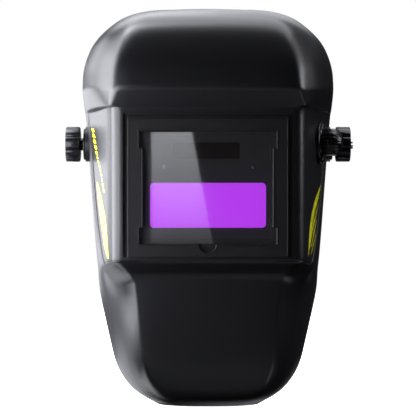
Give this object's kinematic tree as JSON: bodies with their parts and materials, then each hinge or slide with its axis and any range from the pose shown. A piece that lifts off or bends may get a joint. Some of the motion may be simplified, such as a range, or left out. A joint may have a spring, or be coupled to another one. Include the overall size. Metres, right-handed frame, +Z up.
{
  "type": "welding helmet",
  "caption": "Hooded welding mask with a framed auto-darkening filter, side shade dial, clamping pivot knobs and an adjustable ratchet headgear.",
  "frame": {"origin": "middle of the axis of the two pivots, which is where the mask turns on the headgear, inside the headband", "axes": "+Z up towards the crown, -Y the way the wearer looks, +X towards the wearer's left ear"},
  "size_m": [0.2384, 0.2661, 0.3229],
  "materials": {
    "shell_plastic": "black moulded plastic, semi-gloss, finely grained",
    "frame_plastic": "dark grey moulded plastic, satin",
    "cartridge_plastic": "dark grey moulded plastic, fine texture",
    "cover_lens_clear": "clear polycarbonate, glossy",
    "filter_purple": "interference filter glass, purple",
    "lcd_glass": "laminated liquid crystal glass",
    "solar_cell": "dark red-brown photovoltaic film behind a clear coat",
    "sensor_dark": "dark clear moulded lens",
    "board_green": "green solder mask",
    "battery_steel": "plated steel can",
    "hardware_steel": "zinc plated steel",
    "knob_plastic": "black moulded plastic, satin",
    "switch_grey": "light grey moulded plastic",
    "band_plastic": "dark grey flexible polyethylene",
    "cable_rubber": "black PVC sleeve",
    "sweatband_fabric": "black perforated foam-backed towelling"
  },
  "bodies": {
    "headgear": {"pivot_bolt_right": "hardware_steel", "tilt_limiter_right": "knob_plastic", "pivot_bolt_left": "hardware_steel", "tilt_limiter_left": "knob_plastic", "front_band": "band_plastic", "rear_band_right": "band_plastic", "rear_band_stud_right": "band_plastic", "rear_band_left": "band_plastic", "rear_band_stud_left": "band_plastic", "side_plate_right": "knob_plastic", "side_plate_stud_front_right": "hardware_steel", "side_plate_stud_rear_right": "hardware_steel", "side_plate_left": "knob_plastic", "side_plate_stud_front_left": "hardware_steel", "side_plate_stud_rear_left": "hardware_steel", "crown_strap_stud_right": "band_plastic", "crown_strap_stud_left": "band_plastic", "sweatband": "sweatband_fabric", "crown_strap_right": "band_plastic", "crown_strap_left": "band_plastic", "crown_peg": "band_plastic"},
    "mask": {"shell": "shell_plastic", "front_frame": "frame_plastic", "front_cover_lens": "cover_lens_clear", "cartridge_front_case": "cartridge_plastic", "cartridge_back_case": "cartridge_plastic", "filter_glass": "filter_purple", "lcd_cell": "lcd_glass", "solar_panel": "solar_cell", "arc_sensor_right": "sensor_dark", "arc_sensor_left": "sensor_dark", "circuit_board": "board_green", "coin_cell_right": "battery_steel", "coin_cell_left": "battery_steel", "inner_cover_lens": "cover_lens_clear", "cartridge_retainer": "frame_plastic", "retainer_clip_right": "hardware_steel", "retainer_clip_left": "hardware_steel", "shade_dial_plate": "shell_plastic", "shade_potentiometer": "hardware_steel", "shade_nut": "hardware_steel", "shade_cable": "cable_rubber", "pivot_washer_right": "knob_plastic", "pivot_washer_left": "knob_plastic"},
    "tension_knob_left": {"tension_knob_left": "knob_plastic", "knob_insert_left": "hardware_steel"},
    "tension_knob_right": {"tension_knob_right": "knob_plastic", "knob_insert_right": "hardware_steel"},
    "shade_knob": {"shade_knob": "knob_plastic"},
    "sensitivity_knob": {"sensitivity_knob": "knob_plastic"},
    "delay_switch": {"delay_slider": "switch_grey"},
    "ratchet": {"ratchet_inner_cover": "knob_plastic", "ratchet_outer_cover": "knob_plastic", "ratchet_detent": "hardware_steel", "nape_pad": "sweatband_fabric"},
    "ratchet_knob": {"ratchet_pinion": "band_plastic", "ratchet_knob": "knob_plastic"}
  },
  "joints": [
    {"name": "shell_flip", "type": "hinge", "parent": "headgear", "child": "mask", "pos_m": [0, 0, 0], "axis": [-1, 0, 0], "range_deg": [0, 75]},
    {"name": "tension_knob_left_turn", "type": "hinge", "parent": "headgear", "child": "tension_knob_left", "pos_m": [0.111, 0, 0], "axis": [1, 0, 0], "continuous": true},
    {"name": "tension_knob_right_turn", "type": "hinge", "parent": "headgear", "child": "tension_knob_right", "pos_m": [-0.111, 0, 0], "axis": [-1, 0, 0], "continuous": true},
    {"name": "shade_knob_turn", "type": "hinge", "parent": "mask", "child": "shade_knob", "pos_m": [0.08966, -0.052, 0], "axis": [0.9759, -0.2181, 0], "range_deg": [0, 270]},
    {"name": "sensitivity_knob_turn", "type": "hinge", "parent": "mask", "child": "sensitivity_knob", "pos_m": [-0.024, -0.095, -0.01], "axis": [0, 1, 0], "range_deg": [0, 270]},
    {"name": "delay_switch_slide", "type": "slide", "parent": "mask", "child": "delay_switch", "axis": [1, 0, 0], "range_m": [-0.0025, 0.0025]},
    {"name": "band_size_slide", "type": "slide", "parent": "headgear", "child": "ratchet", "axis": [0, -0.9582, 0.286], "range_m": [0, 0.02], "deforming": ["rear_band_left", "rear_band_right"]},
    {"name": "ratchet_knob_turn", "type": "hinge", "parent": "ratchet", "child": "ratchet_knob", "pos_m": [0, 0.12493, -0.03431], "axis": [0, 0.9582, -0.286], "range_deg": [0, 150]}
  ],
  "couplings": [
    {"joint": "ratchet_knob_turn", "follows": "band_size_slide", "rad_per_m": 130}
  ]
}
